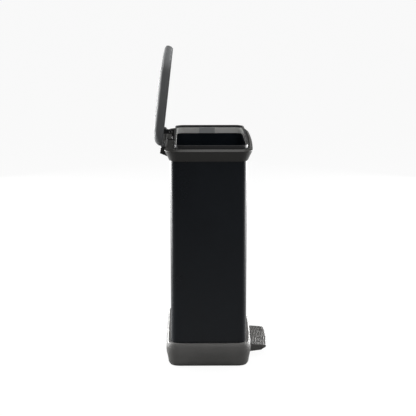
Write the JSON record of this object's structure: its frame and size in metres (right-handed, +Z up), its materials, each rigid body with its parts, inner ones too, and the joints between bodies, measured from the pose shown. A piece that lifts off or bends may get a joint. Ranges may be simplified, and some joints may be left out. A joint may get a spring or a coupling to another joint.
{
  "type": "pedal bin",
  "caption": "Tall slim pedal bin: tapered black bucket, barrel base, flared collar, rear-hinged lid shown open; a foot pedal works a lever, a push rod and the lid's crank",
  "frame": {"origin": "on the floor, under the middle of the bounding box of the bin with its lid open and its pedal down", "axes": "+Z up, -Y is the front where the pedal is, X runs across the width and along the lid's hinge"},
  "size_m": [0.3916, 0.2856, 0.7798],
  "materials": {
    "bucket_black": "satin",
    "cover_black": "satin",
    "moulded_grey": "satin, fine texture",
    "collar_grey": "satin",
    "liner_grey": "matt",
    "inner_black": "matt",
    "bright_band": "bright",
    "clip_grey": "satin",
    "zinc_steel": "zinc plated",
    "foot_rubber": "matt"
  },
  "bodies": {
    "bin": {"body_bucket": "bucket_black", "rod_cover": "cover_black", "base_plinth": "moulded_grey", "collar": "collar_grey", "hinge_housing": "collar_grey", "bag_ring": "inner_black", "rod_guide_lower": "inner_black", "rod_guide_upper": "inner_black", "axle_keeper_left": "inner_black", "axle_keeper_right": "inner_black", "ring_band": "bright_band", "bag_clip_left": "clip_grey", "bag_clip_right": "clip_grey", "hinge_pin_left": "zinc_steel", "hinge_pin_right": "zinc_steel", "pedal_axle": "zinc_steel", "housing_screw_1": "zinc_steel", "housing_screw_2": "zinc_steel", "housing_screw_3": "zinc_steel", "housing_screw_4": "zinc_steel", "keeper_screw_1": "zinc_steel", "keeper_screw_2": "zinc_steel", "keeper_screw_3": "zinc_steel", "keeper_screw_4": "zinc_steel", "foot_1": "foot_rubber", "foot_2": "foot_rubber", "foot_3": "foot_rubber", "foot_4": "foot_rubber"},
    "lid": {"lid_shell": "moulded_grey", "lid_liner": "liner_grey", "lid_crank": "inner_black", "crank_pin": "zinc_steel", "crank_screw_1": "zinc_steel", "crank_screw_2": "zinc_steel", "lid_bumper_left": "foot_rubber", "lid_bumper_right": "foot_rubber", "liner_screw_1": "zinc_steel", "liner_screw_2": "zinc_steel", "liner_screw_3": "zinc_steel", "liner_screw_4": "zinc_steel"},
    "rod": {"push_rod": "zinc_steel", "rod_head": "inner_black", "rod_foot": "inner_black"},
    "pedal": {"pedal_tread": "moulded_grey", "lever_arm": "zinc_steel", "lever_screw_1": "zinc_steel", "lever_screw_2": "zinc_steel"}
  },
  "joints": [
    {"name": "lid_hinge", "type": "hinge", "parent": "bin", "child": "lid", "pos_m": [0, 0.121, 0.557], "axis": [1, 0, 0], "range_deg": [0, 83.5]},
    {"name": "pedal_pivot", "type": "hinge", "parent": "bin", "child": "pedal", "pos_m": [0, -0.0515, 0.03], "axis": [1, 0, 0], "range_deg": [-10, 0]},
    {"name": "rod_slide", "type": "slide", "parent": "bin", "child": "rod", "axis": [0, 0, 1], "range_m": [-0.026, 0]}
  ],
  "couplings": [
    {"joint": "pedal_pivot", "follows": "lid_hinge", "ratio": -0.11976},
    {"joint": "rod_slide", "follows": "lid_hinge", "m_per_rad": -0.01779}
  ]
}
